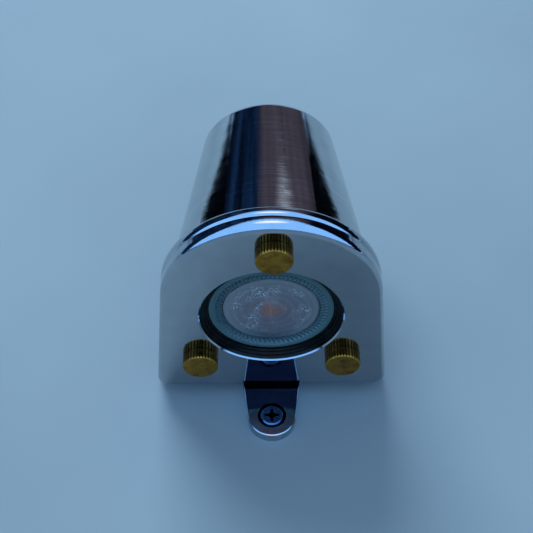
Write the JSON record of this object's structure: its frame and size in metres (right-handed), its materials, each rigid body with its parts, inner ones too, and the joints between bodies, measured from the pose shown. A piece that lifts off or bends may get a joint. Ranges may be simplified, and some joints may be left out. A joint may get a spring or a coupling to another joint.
{
  "type": "bulkhead light",
  "caption": "Polished cast-metal wall light with a hooded body, a cover plate on knurled screws and a push-and-twist reflector lamp.",
  "frame": {"origin": "on the mounting wall, below the middle of the cover plate's front face", "axes": "+Z away from the wall, +Y back along the hood from the cover plate, +X to the right seen from the cover plate"},
  "size_m": [0.0954, 0.1348, 0.1252],
  "materials": {
    "polished_aluminium": "polished casting",
    "turned_brass": "turned and knurled",
    "gasket_rubber": "moulded",
    "seal_rubber": "moulded",
    "grommet_rubber": "moulded",
    "galvanised_steel": "bent sheet",
    "zinc_steel": "zinc plated",
    "holder_ceramic": "glazed steatite",
    "contact_brass": "plated strip",
    "block_nylon": "moulded",
    "tinned_copper": "tinned",
    "lead_brown": "insulation",
    "lead_blue": "insulation",
    "lead_green_yellow": "insulation",
    "lamp_glass": "pressed glass",
    "lens_plastic": "moulded micro-lens",
    "board_white": "solder mask",
    "chip_phosphor": "phosphor",
    "base_plastic": "moulded",
    "nickel_pins": "nickel plated",
    "board_green": "solder mask"
  },
  "bodies": {
    "housing": {"housing": "polished_aluminium", "cover_gasket": "gasket_rubber", "holder_bracket": "galvanised_steel", "bracket_screws": "zinc_steel", "holder_screws": "zinc_steel", "lampholder": "holder_ceramic", "lampholder_contacts": "contact_brass", "wall_screws": "zinc_steel", "cable_grommet": "grommet_rubber", "terminal_block": "block_nylon", "terminal_sleeves": "contact_brass", "terminal_screws": "zinc_steel", "earth_tag": "tinned_copper", "earth_screw": "contact_brass", "lead_live": "lead_brown", "lead_neutral": "lead_blue", "lead_earth": "lead_green_yellow"},
    "cover": {"cover_plate": "polished_aluminium"},
    "lamp_ring": {"lamp_seal": "seal_rubber"},
    "lamp": {"lamp_reflector": "lamp_glass", "lamp_lens": "lens_plastic", "lamp_chip_board": "board_white", "lamp_chips": "chip_phosphor", "lamp_base": "base_plastic", "lamp_pins": "nickel_pins", "lamp_driver_board": "board_green"},
    "washer_top": {"screw_washer_top": "seal_rubber"},
    "thumb_screw_top": {"thumb_screw_top": "turned_brass"},
    "washer_left": {"screw_washer_left": "seal_rubber"},
    "thumb_screw_left": {"thumb_screw_left": "turned_brass"},
    "washer_right": {"screw_washer_right": "seal_rubber"},
    "thumb_screw_right": {"thumb_screw_right": "turned_brass"}
  },
  "joints": [
    {"name": "cover_slide", "type": "slide", "parent": "housing", "child": "cover", "axis": [0, -1, 0], "range_m": [0, 0.05]},
    {"name": "screw_travel_top", "type": "slide", "parent": "cover", "child": "washer_top", "axis": [0, -1, 0], "range_m": [0, 0.012]},
    {"name": "screw_turn_top", "type": "hinge", "parent": "washer_top", "child": "thumb_screw_top", "pos_m": [0.0009, 0, 0.0901], "axis": [0, -1, 0], "range_deg": [0, 5405]},
    {"name": "screw_travel_left", "type": "slide", "parent": "cover", "child": "washer_left", "axis": [0, -1, 0], "range_m": [0, 0.012]},
    {"name": "screw_turn_left", "type": "hinge", "parent": "washer_left", "child": "thumb_screw_left", "pos_m": [-0.029, 0, 0.024], "axis": [0, -1, 0], "range_deg": [0, 5405]},
    {"name": "screw_travel_right", "type": "slide", "parent": "cover", "child": "washer_right", "axis": [0, -1, 0], "range_m": [0, 0.012]},
    {"name": "screw_turn_right", "type": "hinge", "parent": "washer_right", "child": "thumb_screw_right", "pos_m": [0.029, 0, 0.024], "axis": [0, -1, 0], "range_deg": [0, 5405]},
    {"name": "lamp_pull", "type": "slide", "parent": "housing", "child": "lamp_ring", "axis": [0, -1, 0], "range_m": [0, 0.07]},
    {"name": "lamp_twist", "type": "hinge", "parent": "lamp_ring", "child": "lamp", "pos_m": [0, 0, 0.0505], "axis": [0, -1, 0], "range_deg": [0, 20]}
  ],
  "couplings": [
    {"joint": "screw_turn_top", "follows": "screw_travel_top", "rad_per_m": 7854},
    {"joint": "screw_turn_left", "follows": "screw_travel_left", "rad_per_m": 7854},
    {"joint": "screw_turn_right", "follows": "screw_travel_right", "rad_per_m": 7854}
  ]
}
